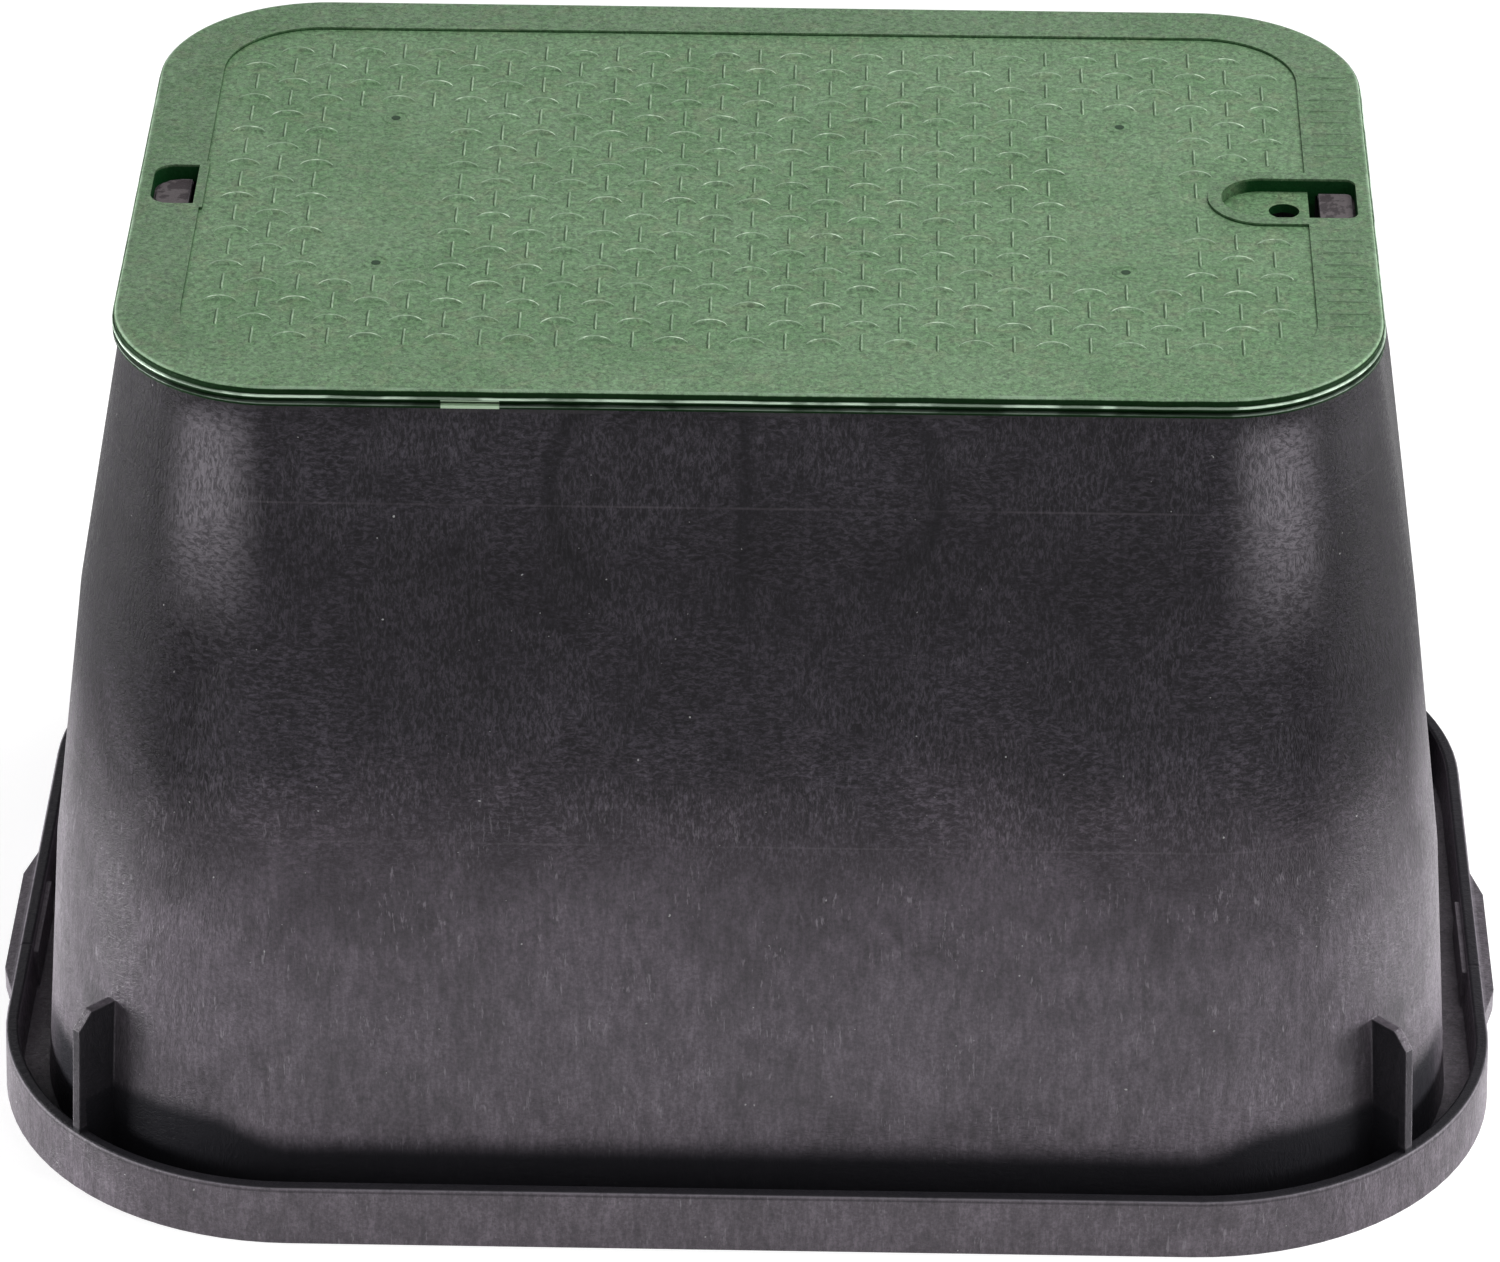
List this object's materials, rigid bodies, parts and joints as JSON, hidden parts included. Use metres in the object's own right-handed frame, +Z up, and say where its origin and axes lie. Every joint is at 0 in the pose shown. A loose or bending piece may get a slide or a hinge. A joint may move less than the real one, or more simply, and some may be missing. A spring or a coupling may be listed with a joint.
{
  "type": "irrigation valve box",
  "caption": "Rectangular in-ground valve box: a flared body open at the foot, with a channelled rim, under a raised-tread lid with a hand slot and a bolt pocket.",
  "frame": {"origin": "middle of the foot, on the ground", "axes": "+X along the length towards the bolt pocket, +Y to the back, +Z up"},
  "size_m": [0.5524, 0.402, 0.3205],
  "materials": {
    "body": "moulded, slightly mottled black",
    "lid": "moulded, fine-grained green"
  },
  "bodies": {
    "root": {"valve_box_body": "body", "valve_box_lid": "lid"}
  },
  "joints": []
}
